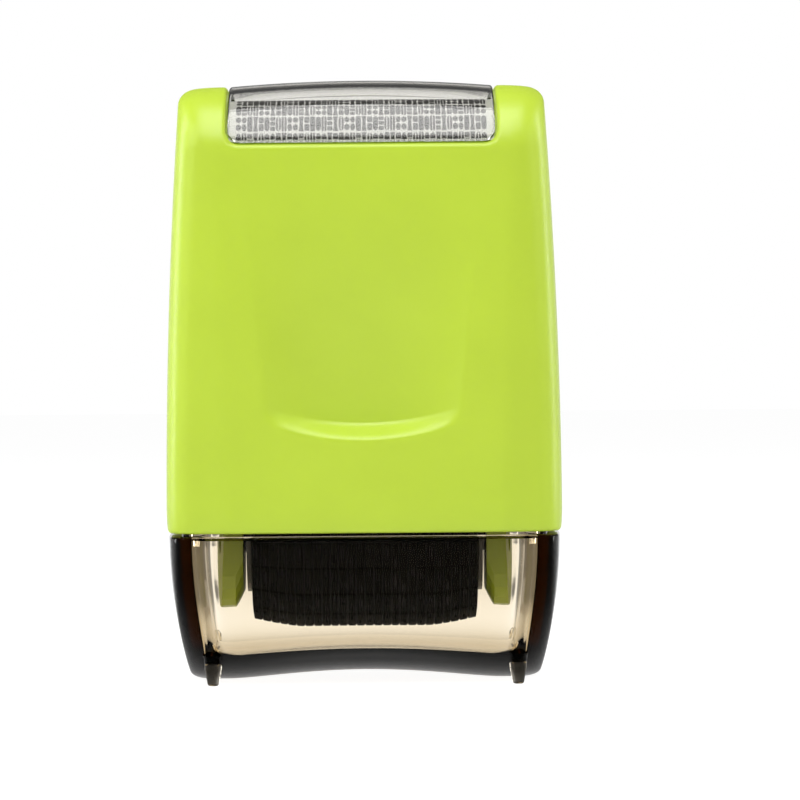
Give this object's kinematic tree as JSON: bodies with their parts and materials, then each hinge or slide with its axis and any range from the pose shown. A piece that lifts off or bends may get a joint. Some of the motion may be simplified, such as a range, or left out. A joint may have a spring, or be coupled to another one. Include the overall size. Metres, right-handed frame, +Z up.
{
  "type": "privacy roller stamp",
  "caption": "Palm-sized privacy roller stamp: tapered housing with thumb dents and a window over its top, a rolling relief sleeve, a sprung ink roller and a smoked pull-off cap.",
  "frame": {"origin": "middle of the object's box, at the height of the four feet", "axes": "+Z up to the window, +X along the rollers, +Y towards the back face"},
  "size_m": [0.0396, 0.026, 0.06],
  "materials": {
    "green_plastic": "lime green moulded plastic, fine matte grain",
    "smoked_plastic": "clear smoked plastic, polished",
    "printed_card": "pale grey card with rows of plain black shapes",
    "black_plastic": "black moulded plastic",
    "black_rubber": "black relief rubber, inked",
    "inked_foam": "fine foam full of black ink",
    "white_plastic": "white slippery plastic",
    "spring_steel": "bright spring wire"
  },
  "bodies": {
    "housing": {"housing_shell": "green_plastic", "window_lens": "smoked_plastic", "pattern_label": "printed_card", "carrier_frame": "green_plastic", "left_ink_spring": "spring_steel", "right_ink_spring": "spring_steel"},
    "ink_carriage": {"left_ink_bearing": "white_plastic", "right_ink_bearing": "white_plastic"},
    "print_roller": {"print_hub": "black_plastic", "left_hub_cap": "black_plastic", "right_hub_cap": "black_plastic", "print_sleeve": "black_rubber"},
    "ink_roller": {"ink_core": "black_plastic", "left_ink_disc": "black_plastic", "right_ink_disc": "black_plastic", "ink_foam": "inked_foam"},
    "cap": {"cap_shell": "smoked_plastic"}
  },
  "joints": [
    {"name": "cap_pull", "type": "slide", "parent": "cap", "child": "housing", "axis": [0, 0, 1], "range_m": [0, 0.022]},
    {"name": "print_roller_spin", "type": "hinge", "parent": "housing", "child": "print_roller", "pos_m": [0, 0, 0.0142], "axis": [1, 0, 0], "continuous": true},
    {"name": "ink_bearing_lift", "type": "slide", "parent": "housing", "child": "ink_carriage", "axis": [0, 0, 1], "range_m": [0, 0.0005], "stiffness_N_per_m": 150, "springref_m": -0.002, "deforming": ["left_ink_spring", "right_ink_spring"]},
    {"name": "ink_roller_spin", "type": "hinge", "parent": "ink_carriage", "child": "ink_roller", "pos_m": [0, 0, 0.029], "axis": [1, 0, 0], "continuous": true}
  ],
  "couplings": [
    {"joint": "ink_roller_spin", "follows": "print_roller_spin", "ratio": -1.6364}
  ]
}
